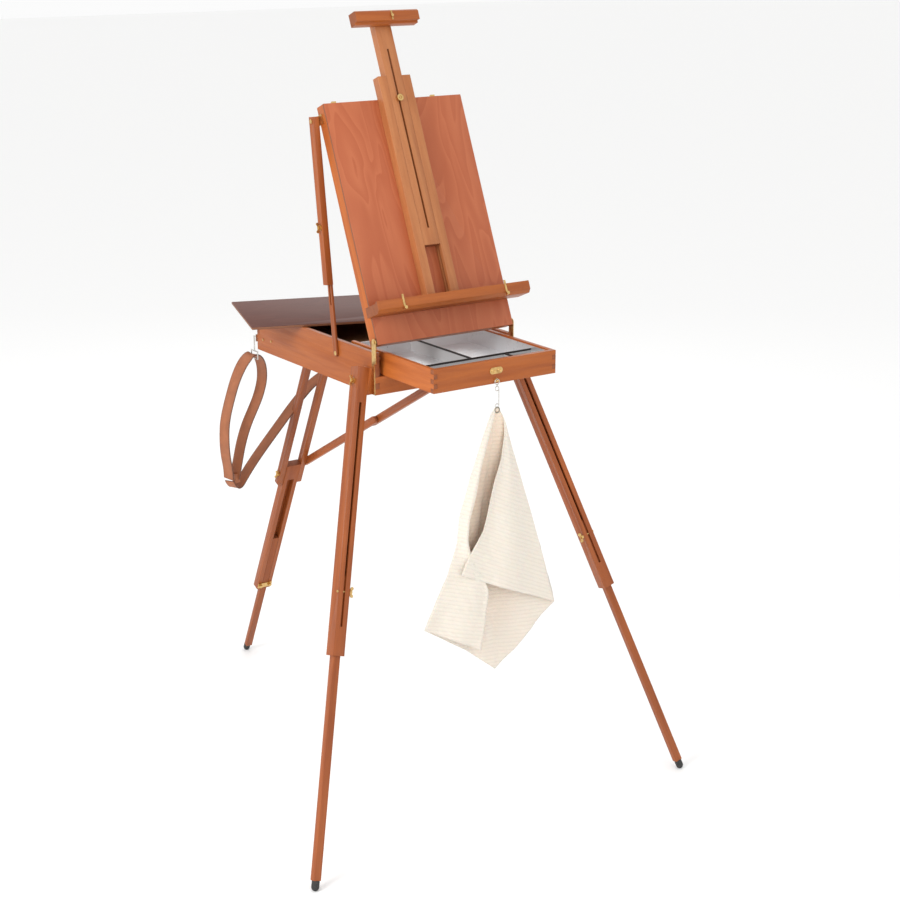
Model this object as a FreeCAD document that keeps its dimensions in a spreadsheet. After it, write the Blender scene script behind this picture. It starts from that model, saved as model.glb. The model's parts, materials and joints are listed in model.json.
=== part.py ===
import FreeCAD, Part
import math
import os
import re

import Sketcher

# Sketch-box easel, open and standing on its three legs.
# Frame: origin on the floor at the centre of the stance, +X to the painter's right,
# +Y away from the painter, +Z up. Lengths in millimetres, angles in degrees.

os.makedirs("parts", exist_ok=True)
doc = FreeCAD.newDocument("easel")
V = FreeCAD.Vector

SIZES = dict(
    # box
    box_width=380, box_depth=550, box_height=98, box_floor=1017, box_wall=12,
    box_front=-377.5, recess_height=39, plywood=4,
    # drawer
    drawer_width=334, drawer_length=340, drawer_height=54, drawer_out=202,
    drawer_wall=10, drawer_front_wall=12, liner=1, liner_depth=40, divider=1.4,
    # lid
    lid_width=376, lid_length=560, lid_depth=32, lid_tilt=23, lid_wall=12,
    pivot_back=9, pivot_up=8, pivot_height=25, pivot_in=1.5, strap_thick=2, strap_wide=17,
    pin_radius=1.85,
    # mast and canvas holders
    rail_wide=22, rail_thick=24, rail_length=516, mast_wide=43.4, mast_thick=21.5,
    mast_length=547, mast_low=199, slot_wide=5.4, slot_low=239, slot_length=424,
    knob_height=546, head_wide=171, head_high=30, head_deep=30.4,
    tray_wide=420, tray_high=28, tray_deep=54, tray_low=54,
    # struts
    strut_thick=15, strut_wide=20, strut_length=382, slat_thick=5, slat_wide=16,
    slat_length=322, strut_pivot_y=164, strut_pivot_z=1084, slat_slot=202,
    strut_pin_back=29.7, strut_pin_up=524, strut_clamp=240,
    # front legs
    foot_x=530, foot_y=-269, foot_radius=9, foot_rise=8.5, leg_pivot_y=28, leg_pivot_z=1048,
    leg_wide=30, leg_deep=28, leg_top=33, leg_length=651, leg_slot=6, slot_run=505,
    inner_wide=18, inner_deep=16, inner_top=440, clamp_at=475,
    wedge_middle=10.6, wedge_high=60, wedge_long=34,
    # rear leg
    rear_pivot_y=540, rear_pivot_z=1037, rear_foot_y=1024, fork_gap=43.4,
    fork_wide=14, fork_deep=20, fork_length=500, joint_at=466, channel_wide=42.6,
    channel_deep=22, channel_end=890, channel_gap=18.6, rear_inner_wide=18,
    rear_inner_deep=14, rear_inner_top=700, stub_radius=3, lug_thick=5,
    # brace
    brace_deep=19, brace_thick=10, brace_front_y=22, brace_z=1036,
    brace_front_length=440, brace_rear_length=415, brace_joint_at=440,
    # palette, strap and towel
    palette_long=480, palette_short=306, palette_thick=6, palette_turn=-19,
    strap_radius=5, towel_thick=30, link_radius=5, ring_wire=1, loop_wire=1.6,
    # fasteners
    bolt_radius=2.4, hub_radius=4.6, hub_high=6, wing_radius=3.6, wing_thick=2.2,
    gap=0.3, fit=0.05,
)


class Sizes:
    """The driving dimensions by name, for positions worked out in this macro."""


g = Sizes()
g.__dict__.update(SIZES)

sheet = doc.addObject("Spreadsheet::Sheet", "Sizes")
for row, (alias, number) in enumerate(SIZES.items(), start=1):
    sheet.set(f"A{row}", alias)
    sheet.set(f"B{row}", str(number))
    sheet.setAlias(f"B{row}", alias)
doc.recompute()

PARTS = []


def expression(text):
    """A sheet expression from plain alias names."""
    return re.sub(r"[a-z_]+", lambda name: "Sizes." + name.group(0), str(text))


def place(x=0, y=0, z=0, rotation=None):
    return FreeCAD.Placement(V(x, y, z), rotation or FreeCAD.Rotation())


def turned(axis, angle):
    return FreeCAD.Rotation(axis, angle)


X, Y, Z = V(1, 0, 0), V(0, 1, 0), V(0, 0, 1)
ALONG = {"x": turned(Y, 90), "y": turned(X, -90), "z": FreeCAD.Rotation()}

BOX = place(0, g.box_front, 0)


def keep(obj, label):
    """Mark an object as a sub-part, whose Label names its file."""
    obj.Label = label
    PARTS.append(obj)
    return obj


def slab(size, at, frame=BOX):
    """Part::Box whose three sizes are sheet expressions, its low corner at a point of a frame."""
    obj = doc.addObject("Part::Box", "slab")
    for prop, text in zip(("Length", "Width", "Height"), size):
        obj.setExpression(prop, expression(text))
    obj.Placement = frame.multiply(place(*at))
    return obj


def rod(radius, length, at, along="z", frame=BOX):
    """Part::Cylinder along one axis of a frame, starting at a point."""
    obj = doc.addObject("Part::Cylinder", "rod")
    obj.setExpression("Radius", expression(radius))
    obj.setExpression("Height", expression(length))
    obj.Placement = frame.multiply(place(*at, ALONG[along]))
    return obj


def ball(radius, at, frame=BOX):
    obj = doc.addObject("Part::Sphere", "ball")
    obj.setExpression("Radius", expression(radius))
    obj.Placement = frame.multiply(place(*at))
    return obj


def ring(radius, wire, at, frame=BOX, rotation=None):
    obj = doc.addObject("Part::Torus", "ring")
    obj.setExpression("Radius1", expression(radius))
    obj.setExpression("Radius2", expression(wire))
    obj.Placement = frame.multiply(place(*at, rotation))
    return obj


def fuse(*pieces):
    if len(pieces) == 1:
        return pieces[0]
    obj = doc.addObject("Part::MultiFuse", "fused")
    obj.Shapes = list(pieces)
    return obj


def cut(base, *tools):
    obj = doc.addObject("Part::Cut", "cut")
    obj.Base = base
    obj.Tool = fuse(*tools)
    return obj


def group(*pieces):
    """Separate solids that share one node."""
    obj = doc.addObject("Part::Compound", "group")
    obj.Links = list(pieces)
    return obj


def profile(points, length, frame, cuts=()):
    """A PartDesign body: a closed outline in its XY plane, padded along +Z.

    The points are pairs of sheet expressions from the body's own origin, all positive or 0.
    Each cut is (corner x, corner y, width, height, depth) of a rectangular pocket
    made into the pad from the XY plane.
    """
    body = doc.addObject("PartDesign::Body", "body")
    plane = next(o for o in body.Origin.OriginFeatures if o.Role == "XY_Plane")

    def outline(name, corners):
        sketch = body.newObject("Sketcher::SketchObject", name)
        sketch.AttachmentSupport = (plane, [""])
        sketch.MapMode = "FlatFace"
        # rough shape first; the constraints then set it to the sheet's values
        numbers = [[read(text) for text in corner] for corner in corners]
        count = len(corners)
        for i in range(count):
            start, end = numbers[i], numbers[(i + 1) % count]
            sketch.addGeometry(Part.LineSegment(V(*start, 0), V(*end, 0)))
        for i in range(count):
            sketch.addConstraint(Sketcher.Constraint("Coincident", i, 2, (i + 1) % count, 1))
        for i, corner in enumerate(corners):
            for kind, axis, text, number in (
                ("DistanceX", -2, corner[0], numbers[i][0]),
                ("DistanceY", -1, corner[1], numbers[i][1]),
            ):
                if number == 0:
                    sketch.addConstraint(Sketcher.Constraint("PointOnObject", i, 1, axis))
                    continue
                at = sketch.addConstraint(Sketcher.Constraint(kind, -1, 1, i, 1, number))
                sketch.setExpression(f"Constraints[{at}]", expression(text))
        return sketch

    pad = body.newObject("PartDesign::Pad", "pad")
    pad.Profile = outline("outline", points)
    pad.setExpression("Length", expression(length))
    doc.recompute()
    full = body.Shape.Volume
    for corner_x, corner_y, wide, high, depth in cuts:
        corners = [
            (corner_x, corner_y),
            (f"{corner_x} + {wide}", corner_y),
            (f"{corner_x} + {wide}", f"{corner_y} + {high}"),
            (corner_x, f"{corner_y} + {high}"),
        ]
        pocket = body.newObject("PartDesign::Pocket", "pocket")
        pocket.Profile = outline("pocket_outline", corners)
        pocket.setExpression("Length", expression(depth))
        pocket.Reversed = True
        doc.recompute()
        if body.Shape.Volume > full - 1:
            raise RuntimeError("a pocket cuts nothing")
        full = body.Shape.Volume
    body.Placement = frame
    return body


def read(text):
    """The number that a sum or difference of sheet names and numbers stands for."""
    total = 0
    for sign, term in re.findall(r"([+-]?)\s*([a-z_0-9.]+(?:\s*[*/]\s*[a-z_0-9.]+)*)", str(text)):
        product = 1
        for operator, factor in re.findall(r"([*/]?)\s*([a-z_0-9.]+)", term):
            number = SIZES[factor] if factor in SIZES else float(factor)
            product = product / number if operator == "/" else product * number
        total += -product if sign == "-" else product
    return total


def fingers(count, first, size, at, step, frame=BOX):
    """Boxes at every other finger of a corner joint, from the first one up, as cutting tools."""
    tools = []
    for i in range(first, count, 2):
        x, y, z = at
        tools.append(slab(size, (x, y, z + i * step), frame))
    return tools


def wing_nut(frame, washer=True):
    """Wing nut: frame's +Z is the bolt's outward axis, z = 0 its seat, the wings lie along x."""
    pieces = [rod("hub_radius", "hub_high", (0, 0, 0), "z", frame)]
    if washer:
        pieces.append(rod("hub_radius + 1.8", "1", (0, 0, 0), "z", frame))
    tip_x, tip_z = 8.6, 7.2
    for side in (-1, 1):
        tip = (side * tip_x, -g.wing_thick / 2, tip_z)
        pieces.append(rod("wing_radius", "wing_thick", tip, "y", frame))
        low = -tip_x if side < 0 else 0
        pieces.append(slab((str(tip_x), "wing_thick", "5.2"), (low, -g.wing_thick / 2, 2.8), frame))
    return fuse(*pieces)


# ---------------------------------------------------------------- box

HALF = g.box_width / 2
TOP = g.box_floor + g.box_height
FINGERS = 7
STEP = g.box_height / FINGERS
RECESS_TOP = g.box_floor + g.recess_height
DECK = RECESS_TOP + g.plywood


def box_side(side):
    x = -HALF if side < 0 else HALF - g.box_wall
    board = slab(("box_wall", "box_depth", "box_height"), (x, 0, g.box_floor))
    finger = ("box_wall", "box_wall", "box_height / 7")
    back = g.box_depth - g.box_wall
    front_tools = fingers(3, 0, finger, (x, 0, g.box_floor), STEP)
    back_tools = fingers(FINGERS, 3, finger, (x, back, g.box_floor), STEP)
    return cut(board, *front_tools, *back_tools)


keep(group(box_side(-1), box_side(1)), "box_sides")


def box_front_rail():
    """Rail under the drawer, finger jointed into the sides."""
    rail = slab(("box_width", "box_wall", "box_height * 3 / 7"), (-HALF, 0, g.box_floor))
    finger = ("box_wall", "box_wall", "box_height / 7")
    tools = []
    for x in (-HALF, HALF - g.box_wall):
        tools += fingers(3, 1, finger, (x, 0, g.box_floor), STEP)
    return keep(cut(rail, *tools), "box_front_rail")


box_front_rail()


def box_back():
    back = g.box_depth - g.box_wall
    board = slab(("box_width", "box_wall", "box_height * 4 / 7"),
                 (-HALF, back, g.box_floor + 3 * STEP))
    finger = ("box_wall", "box_wall", "box_height / 7")
    tools = []
    for x in (-HALF, HALF - g.box_wall):
        tools += fingers(FINGERS, 4, finger, (x, back, g.box_floor), STEP)
    return keep(cut(board, *tools), "box_back")


box_back()
keep(slab(("box_width - 2 * box_wall", "box_depth - 2 * box_wall", "plywood"),
          (-HALF + g.box_wall, g.box_wall, RECESS_TOP)), "box_bottom")

# runners: a low pair under the drawer's rebate line, a thin pair above
RUNNER = HALF - g.box_wall - g.drawer_width / 2 - g.gap
keep(group(*[
    slab((str(RUNNER), "box_depth - 2 * box_wall", high), (x, g.box_wall, z))
    for high, z in (("14", DECK), ("6", TOP - 20))
    for x in (-HALF + g.box_wall, HALF - g.box_wall - RUNNER)
]), "drawer_runners")

# ---------------------------------------------------------------- drawer

DRAWER = place(0, g.box_front - g.drawer_out, TOP - g.drawer_height)
D_HALF = g.drawer_width / 2
D_FINGERS = 5
D_STEP = g.drawer_height / D_FINGERS
D_FINGER = ("drawer_wall", "drawer_front_wall", "drawer_height / 5")

front_board = slab(("drawer_width", "drawer_front_wall", "drawer_height"), (-D_HALF, 0, 0), DRAWER)
front_tools = [tool for x in (-D_HALF, D_HALF - g.drawer_wall)
               for tool in fingers(D_FINGERS, 1, D_FINGER, (x, 0, 0), D_STEP, DRAWER)]
keep(cut(front_board, *front_tools), "drawer_front")
drawer_sides = []
for x in (-D_HALF, D_HALF - g.drawer_wall):
    board = slab(("drawer_wall", "drawer_length", "drawer_height"), (x, 0, 0), DRAWER)
    drawer_sides.append(
        cut(board, *fingers(D_FINGERS, 0, D_FINGER, (x, 0, 0), D_STEP, DRAWER)))
keep(group(*drawer_sides), "drawer_sides")
keep(slab(("drawer_width - 2 * drawer_wall", "drawer_wall", "drawer_height - 6"),
          (-D_HALF + g.drawer_wall, g.drawer_length - g.drawer_wall, 0), DRAWER), "drawer_back")

LINER_X = D_HALF - g.drawer_wall
LINER_Y = g.drawer_front_wall
LINER_LONG = "drawer_length - drawer_front_wall - drawer_wall"
liner_low = g.drawer_height - 4 - g.liner_depth
liner_outer = slab(("drawer_width - 2 * drawer_wall", LINER_LONG, "liner_depth"),
                   (-LINER_X, LINER_Y, liner_low), DRAWER)
liner_inner = slab(("drawer_width - 2 * drawer_wall - 2 * liner", LINER_LONG + " - 2 * liner",
                    "liner_depth"), (-LINER_X + g.liner, LINER_Y + g.liner, liner_low + g.liner),
                   DRAWER)
keep(cut(liner_outer, liner_inner), "drawer_liner")
keep(slab(("drawer_width - 2 * drawer_wall", LINER_LONG, "plywood"),
          (-LINER_X, LINER_Y, 2), DRAWER), "drawer_bottom")

# one divider across at about a third of the tray, two short ones along it
CROSS = 66
cell_high = "liner_depth - liner - 6"
inner_x = LINER_X - g.liner
front_y = LINER_Y + g.liner
rear_y = g.drawer_length - g.drawer_wall - g.liner
cross_y = front_y + CROSS
base_z = liner_low + g.liner
dividers = [slab(("drawer_width - 2 * drawer_wall - 2 * liner", "divider", cell_high),
                 (-inner_x, cross_y, base_z), DRAWER)]
for x, start, end in ((-10, cross_y + g.divider, rear_y), (80, front_y, cross_y)):
    dividers.append(slab(("divider", str(end - start), cell_high), (x, start, base_z), DRAWER))
keep(group(*dividers), "drawer_dividers")

# oval lock plate with two eyes, and the little hook under it that carries the towel
plate_z = 30
plate = fuse(slab(("20", "1.4", "15"), (-10, -1.4, plate_z - 7.5), DRAWER),
             *[rod("7.5", "1.4", (x, -1.4, plate_z), "y", DRAWER) for x in (-10, 10)])
eyes = [ring("4", "1.3", (x, -1.6, plate_z), DRAWER, ALONG["y"]) for x in (-8, 8)]
HOOK_Z = 8
hook = fuse(rod("1.4", "7", (0, -7, HOOK_Z), "y", DRAWER),
            rod("5", "1.2", (0, -1.2, HOOK_Z), "y", DRAWER),
            ball("2.4", (0, -7.5, HOOK_Z), DRAWER))
keep(group(fuse(plate, *eyes), hook), "drawer_fittings")

# ---------------------------------------------------------------- lid

HINGE_Z = TOP + g.pivot_height
HINGE_Y = g.pivot_in
LID = BOX.multiply(place(0, HINGE_Y, HINGE_Z, turned(X, -g.lid_tilt)))
# in the lid's frame: y runs from front to back, z up the lid, the hinge axis at 0, 0
FRONT = -g.pivot_back
FOOT = -g.pivot_up
LID_TOP = FOOT + g.lid_length
L_HALF = g.lid_width / 2
FRAME_Y = FRONT + g.plywood
NOTCH = 6.5

pin_bores = [rod("pin_radius", "40", (x, 0, 0), "x", LID) for x in (-HALF, HALF - 40)]
knob_bore = rod("bolt_radius", "60", (0, FRONT - 5, g.knob_height), "y", LID)
keep(cut(slab(("lid_width", "plywood", "lid_length"), (-L_HALF, FRONT, FOOT), LID), knob_bore),
     "lid_panel")
keep(group(*[
    slab(("lid_wall", "lid_depth - plywood", f"lid_length - pivot_up - {NOTCH}"),
         (x, FRAME_Y, NOTCH), LID)
    for x in (-L_HALF, L_HALF - g.lid_wall)
]), "lid_sides")
low_rail = cut(slab(("lid_width", "lid_depth - plywood", f"pivot_up + {NOTCH}"),
                    (-L_HALF, FRAME_Y, FOOT), LID), *pin_bores)
top_rail = cut(slab(("lid_width - 2 * lid_wall", "lid_depth - plywood", "lid_wall"),
                    (-L_HALF + g.lid_wall, FRAME_Y, LID_TOP - g.lid_wall), LID), knob_bore)
keep(group(low_rail, top_rail), "lid_rails")

# two rails glued on the panel, grooved for the mast's tongue, above the canvas tray
RAILS_LOW = g.tray_low + g.tray_high + 2
INNER = g.mast_wide / 2 + g.gap
rails = []
for side in (-1, 1):
    x = -INNER - g.rail_wide if side < 0 else INNER
    groove_x = -INNER - 4.3 if side < 0 else INNER
    rail = slab(("rail_wide", "rail_thick", "rail_length"),
                (x, FRONT - g.rail_thick, RAILS_LOW), LID)
    groove = slab(("4.3", "5.4", "rail_length"), (groove_x, FRONT - 13.2, RAILS_LOW), LID)
    rails.append(cut(rail, groove))
keep(group(*rails), "mast_rails")

# hinge pins with their heads, plates under the struts' top bolts, knob bolt, corner catches
PIN_OUT = HALF + g.strap_thick + 1.6
fittings = []
for pin_x, head_x in ((-PIN_OUT, -PIN_OUT), (PIN_OUT - 36, PIN_OUT - 1.2)):
    fittings.append(fuse(rod("pin_radius", "36", (pin_x, 0, 0), "x", LID),
                         rod("4.2", "1.2", (head_x, 0, 0), "x", LID)))
for x in (-L_HALF - 2.3, L_HALF):
    fittings.append(fuse(slab(("2.3", "30", "22"), (x, 6, g.strut_pin_up - 13), LID),
                         rod("7", "2.3", (x, g.strut_pin_back, g.strut_pin_up), "x", LID)))
fittings.append(rod("bolt_radius", "rail_thick + 22",
                    (0, FRONT - g.rail_thick - 6, g.knob_height), "y", LID))
for x in (-150, 120):
    fittings.append(slab(("11", "5", "8"), (x - 5.5, 6, LID_TOP), LID))
keep(group(*fittings), "lid_fittings")

# canvas tray: outline runs from the panel outwards and upwards, padded from right to left
# the tray sits a little to the right, so its left end is near the lid's side
TRAY_SHIFT = 11
TRAY = LID.multiply(place(g.tray_wide / 2 + TRAY_SHIFT, FRONT, g.tray_low,
                          FreeCAD.Rotation(V(0, -1, 0), Z, V(-1, 0, 0), "ZXY")))
keep(profile(
    [("0", "0"), ("tray_deep - 8", "0"), ("tray_deep", "8"), ("tray_deep", "tray_high"),
     ("tray_deep - 7", "tray_high"), ("tray_deep - 7", "tray_high - 4"), ("0", "tray_high - 4")],
    "tray_wide", TRAY), "canvas_tray")
clips = []
for x in (TRAY_SHIFT - 141, TRAY_SHIFT + 141):
    front = FRONT - g.tray_deep - 1.6
    strip = slab(("5", "1.6", "tray_high + 7"), (x - 2.5, front, g.tray_low + 1), LID)
    nub = rod("4", "5", (x, front - 5, g.tray_low + 5), "y", LID)
    clips.append(fuse(strip, nub))
keep(group(*clips), "tray_clips")

# ---------------------------------------------------------------- mast and head

mast = fuse(
    slab(("mast_wide", "mast_thick", "mast_length"),
         (-g.mast_wide / 2, FRONT - g.rail_thick + 0.4, g.mast_low), LID),
    slab(("mast_wide + 8", "4.8", "mast_length - 190"),
         (-g.mast_wide / 2 - 4, FRONT - 12.9, g.mast_low), LID))
mast_slot = slab(("slot_wide", "60", "slot_length"),
                 (-g.slot_wide / 2, FRONT - 40, g.slot_low), LID)
keep(cut(mast, mast_slot), "mast")

# the head block is screwed to the mast's front; its rebate holds a canvas's upper edge
HEAD_LOW = g.mast_low + g.mast_length - g.head_high
head = profile(
    [("0", "5"), ("11", "5"), ("11", "0"), ("head_deep", "0"), ("head_deep", "head_high"),
     ("4", "head_high"), ("0", "head_high - 4")],
    "head_wide",
    LID.multiply(place(-g.head_wide / 2, FRONT - 54, HEAD_LOW,
                       FreeCAD.Rotation(Y, Z, X, "ZXY"))))
keep(head, "head_bar")
clip_y = FRONT - 54 - 1.5
keep(fuse(slab(("4", "1.5", "22"), (9, clip_y, HEAD_LOW + 6), LID),
          rod("3.6", "2.2", (11, clip_y - 2.2, HEAD_LOW + 16), "y", LID)), "head_clip")

KNOB = LID.multiply(place(0, FRONT - g.rail_thick - 0.2, g.knob_height, turned(X, 90)))
keep(cut(fuse(rod("6.5", "2", (0, 0, 0.1), "z", KNOB), rod("8", "4", (0, 0, 2.1), "z", KNOB)),
         rod("bolt_radius + fit", "8", (0, 0, -1), "z", KNOB),
         rod("4", "2", (0, 0, 4.2), "z", KNOB)), "mast_knob")

# ---------------------------------------------------------------- struts


def strut(side, letter):
    """Telescoping stay: a slat pivoted on the box side, and a grooved bar clamped on it."""
    pin = LID.multVec(V(0, g.strut_pin_back, g.strut_pin_up))
    foot = V(0, g.strut_pivot_y + g.box_front, g.strut_pivot_z)
    rise = pin - foot
    lean = math.degrees(math.atan2(rise.y, rise.z))
    length = rise.Length
    frame = place(0, foot.y, foot.z, turned(X, -lean))
    clear = HALF + 0.8

    def layer(near, thick):
        """Low x of a layer that starts near mm outside the box's side."""
        return clear + near if side > 0 else -clear - near - thick

    inner = layer(0, g.slat_thick)
    slat = fuse(
        slab(("slat_thick", "slat_wide", "slat_length"), (inner, -g.slat_wide / 2, 0), frame),
        rod("slat_wide / 2", "slat_thick", (inner, 0, 0), "x", frame))
    slot = slab(("slat_thick", "2 * bolt_radius + 0.6", "slat_slot"),
                (inner, -g.bolt_radius - 0.3, g.slat_length - g.slat_slot - 8), frame)
    bore = rod("2.5 + fit", "slat_thick", (inner, 0, 0), "x", frame)
    sink = rod("5.1", "2.3", (layer(g.slat_thick - 2.3, 2.3), 0, 0), "x", frame)
    keep(cut(slat, slot, bore, sink), f"strut_slat_{letter}")

    low = length + 10 - g.strut_length
    outer = layer(0, g.strut_thick)
    bar = slab(("strut_thick", "strut_wide", "strut_length"), (outer, -g.strut_wide / 2, low),
               frame)
    groove = slab(("slat_thick + 0.4", "slat_wide + 0.6", "strut_length - 40"),
                  (layer(0, g.slat_thick + 0.4), -g.slat_wide / 2 - 0.3, low), frame)
    clamp_z = length - g.strut_clamp
    bores = [rod("bolt_radius + fit", "strut_thick", (outer, 0, clamp_z), "x", frame),
             rod("bolt_radius", "strut_thick", (outer, 0, length), "x", frame)]
    keep(cut(bar, groove, *bores), f"strut_bar_{letter}")
    keep(fuse(rod("bolt_radius", "strut_thick", (outer, 0, length), "x", frame),
              rod("5", "2", (layer(g.strut_thick, 2), 0, length), "x", frame)),
         f"strut_bolt_{letter}")
    seat = frame.multiply(place(side * (clear + g.strut_thick + 0.2), 0, clamp_z,
                                turned(Y, 90 * side)))
    keep(fuse(wing_nut(seat), rod("bolt_radius", "strut_thick", (0, 0, -g.strut_thick), "z", seat)),
         f"strut_nut_{letter}")
    return lean, length


for side, letter in ((-1, "left"), (1, "right")):
    LEAN, STRUT = strut(side, letter)
print(f"strut: lean {LEAN:.3f}, pin distance {STRUT:.1f}")

# ---------------------------------------------------------------- front legs

def leg_frame(side):
    """Frame of a front leg: z up the leg, x the pivot bolt's axis, the origin on that axis."""
    top = V(side * (HALF + g.wedge_middle + g.leg_wide / 2), g.leg_pivot_y, g.leg_pivot_z)
    up = top - V(side * g.foot_x, g.foot_y, g.foot_rise)
    splay = math.atan2(g.foot_x - abs(top.x), up.z)
    across = V(math.cos(splay), 0, side * math.sin(splay))
    rotation = FreeCAD.Rotation(across, V(), up, "ZXY")
    return BOX.multiply(FreeCAD.Placement(top, rotation)), up.Length, splay


def rubber_tip(frame, length):
    """Round tip at the end of a leg, worn flat where it meets the floor."""
    tip = fuse(ball("foot_radius", (0, 0, -length), frame),
               rod("foot_radius", "14", (0, 0, -length), "z", frame))
    centre = frame.multVec(V(0, 0, -length))
    floor = slab(("40", "40", "20"), (centre.x - 20, centre.y - 20, -20), place())
    return cut(tip, floor)


# the clamp bolt crosses the slotted front wall of the outer section
CAVITY_FRONT = -7.7
CLAMP_Y = -10.8


def front_leg(side, letter):
    leg, length, splay = leg_frame(side)
    half = g.leg_wide / 2
    outer = slab(("leg_wide", "leg_deep", "leg_length"),
                 (-half, -g.leg_deep / 2, g.leg_top - g.leg_length), leg)
    cavity = slab(("inner_wide + 0.4", "inner_deep + 0.4", "leg_length - 65"),
                  (-g.inner_wide / 2 - 0.2, CAVITY_FRONT, g.leg_top - g.leg_length), leg)
    slot = slab(("leg_slot", "10", "slot_run"), (-g.leg_slot / 2, -g.leg_deep / 2 - 2, -553), leg)
    bores = [rod("bolt_radius + fit", "leg_wide", (-half, 0, 0), "x", leg),
             rod("2", "leg_wide", (-half, CLAMP_Y, -g.clamp_at), "x", leg)]
    keep(cut(outer, cavity, slot, *bores), f"leg_outer_{letter}")

    shaft = length - g.inner_top - 14
    keep(slab(("inner_wide", "inner_deep", str(shaft)),
              (-g.inner_wide / 2, CAVITY_FRONT + 0.2, -g.inner_top - shaft), leg),
         f"leg_inner_{letter}")
    keep(rubber_tip(leg, length), f"leg_tip_{letter}")

    seat = leg.multiply(place(-side * (half + 0.2), CLAMP_Y, -g.clamp_at, turned(Y, -90 * side)))
    keep(fuse(wing_nut(seat, washer=False),
              rod("1.95", "leg_wide + 0.4", (0, 0, -g.leg_wide - 0.4), "z", seat),
              rod("3", "1.6", (0, 0, -g.leg_wide - 2), "z", seat)), f"leg_clamp_{letter}")

    # pivot: bolt through wedge and leg, wing nut on the outside
    seat = leg.multiply(place(side * (half + 0.2), 0, 0, turned(Y, 90 * side)))
    nut = cut(wing_nut(seat), rod("bolt_radius", "20", (0, 0, -1), "z", seat))
    start = -half - 4 if side > 0 else -half - 8
    bolt = rod("bolt_radius", "leg_wide + 12", (start, 0, 0), "x", leg)
    bore = rod("bolt_radius", "leg_wide + 12", (start, 0, 0), "x", leg)

    # wedge block that gives the leg its splay
    slope = math.tan(splay)
    middle = g.wedge_middle + half - half / math.cos(splay) - 2 * g.fit
    thick_low = middle + slope * g.wedge_high / 2
    thick_high = middle - slope * g.wedge_high / 2
    outline = [("0", "0"), (str(thick_low), "0"), (str(thick_high), "wedge_high"),
               ("0", "wedge_high")]
    rotation = FreeCAD.Rotation(V(side, 0, 0), Z, V(0, -side, 0), "ZXY")
    start_y = g.leg_pivot_y + side * g.wedge_long / 2
    wedge = profile(outline, "wedge_long",
                    BOX.multiply(place(side * (HALF + g.fit), start_y, g.leg_pivot_z - g.wedge_high / 2,
                                       rotation)))
    return cut(wedge, bore), [bolt, nut]


wedges, FASTENERS = [], []
for side, letter in ((-1, "left"), (1, "right")):
    wedge, pivot = front_leg(side, letter)
    wedges.append(wedge)
    FASTENERS += pivot
keep(group(*wedges), "leg_wedges")

# ---------------------------------------------------------------- hinge straps

# a plate on each outer side of the box, narrow beside the leg and wide at the lid's pin
straps = []
NARROW = 10
WIDE_FROM = TOP - 24
for x in (-HALF - g.strap_thick, HALF):
    low = slab(("strap_thick", str(NARROW), str(WIDE_FROM - g.box_floor - 2)),
               (x, 0, g.box_floor + 2))
    high = slab(("strap_thick", "strap_wide", str(HINGE_Z - WIDE_FROM)),
                (x, HINGE_Y - g.strap_wide / 2, WIDE_FROM))
    crown = rod("strap_wide / 2", "strap_thick", (x, HINGE_Y, HINGE_Z), "x")
    bore = rod("pin_radius + fit", "strap_thick + 2", (x - 1, HINGE_Y, HINGE_Z), "x")
    straps.append(cut(fuse(low, high, crown), bore))
keep(group(*straps), "hinge_straps")

# ---------------------------------------------------------------- rear leg

REAR_LEAN = math.degrees(math.atan2(g.rear_foot_y - g.rear_pivot_y, g.rear_pivot_z - g.foot_rise))
REAR = BOX.multiply(place(0, g.rear_pivot_y, g.rear_pivot_z, turned(X, REAR_LEAN)))
REAR_LONG = math.hypot(g.rear_foot_y - g.rear_pivot_y, g.rear_pivot_z - g.foot_rise)
F_HALF = g.fork_gap / 2

fork = []
for side in (-1, 1):
    x = F_HALF if side > 0 else -F_HALF - g.fork_wide
    rail = fuse(
        slab(("fork_wide", "fork_deep", "fork_length"),
             (x, -g.fork_deep / 2, -g.fork_length), REAR),
        rod("fork_deep / 2", "fork_wide", (x, 0, 0), "x", REAR))
    pivot = rod("stub_radius + fit", "fork_wide", (x, 0, 0), "x", REAR)
    joint = rod("stub_radius + fit", "fork_wide", (x, 0, -g.joint_at), "x", REAR)
    fork.append(cut(rail, pivot, joint))
keep(group(*fork), "rear_fork")

channel = slab(("channel_wide", "channel_deep", "channel_end - joint_at + 30"),
               (-g.channel_wide / 2, -g.channel_deep / 2, -g.channel_end), REAR)
trough = slab(("channel_gap + 0.4", "channel_deep", "channel_end - joint_at - 20"),
              (-g.channel_gap / 2 - 0.2, -g.channel_deep / 2 - 4, -g.channel_end), REAR)
joint = rod("stub_radius", "channel_wide", (-g.channel_wide / 2, 0, -g.joint_at), "x", REAR)
keep(cut(channel, trough, joint), "rear_channel")

rear_long = REAR_LONG - g.rear_inner_top - 14
keep(slab(("rear_inner_wide", "rear_inner_deep", str(rear_long)),
          (-g.rear_inner_wide / 2, -g.channel_deep / 2, -g.rear_inner_top - rear_long), REAR),
     "rear_inner")
keep(rubber_tip(REAR, REAR_LONG), "rear_tip")

# the nut's own stud and the channel's pin share the left rail's bore
STUD = 6
seat = REAR.multiply(place(-F_HALF - g.fork_wide - 0.2, 0, -g.joint_at, turned(Y, -90)))
keep(fuse(wing_nut(seat),
          rod("stub_radius", str(STUD + 0.2), (0, 0, -STUD - 0.2), "z", seat)), "rear_joint_bolt")

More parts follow.
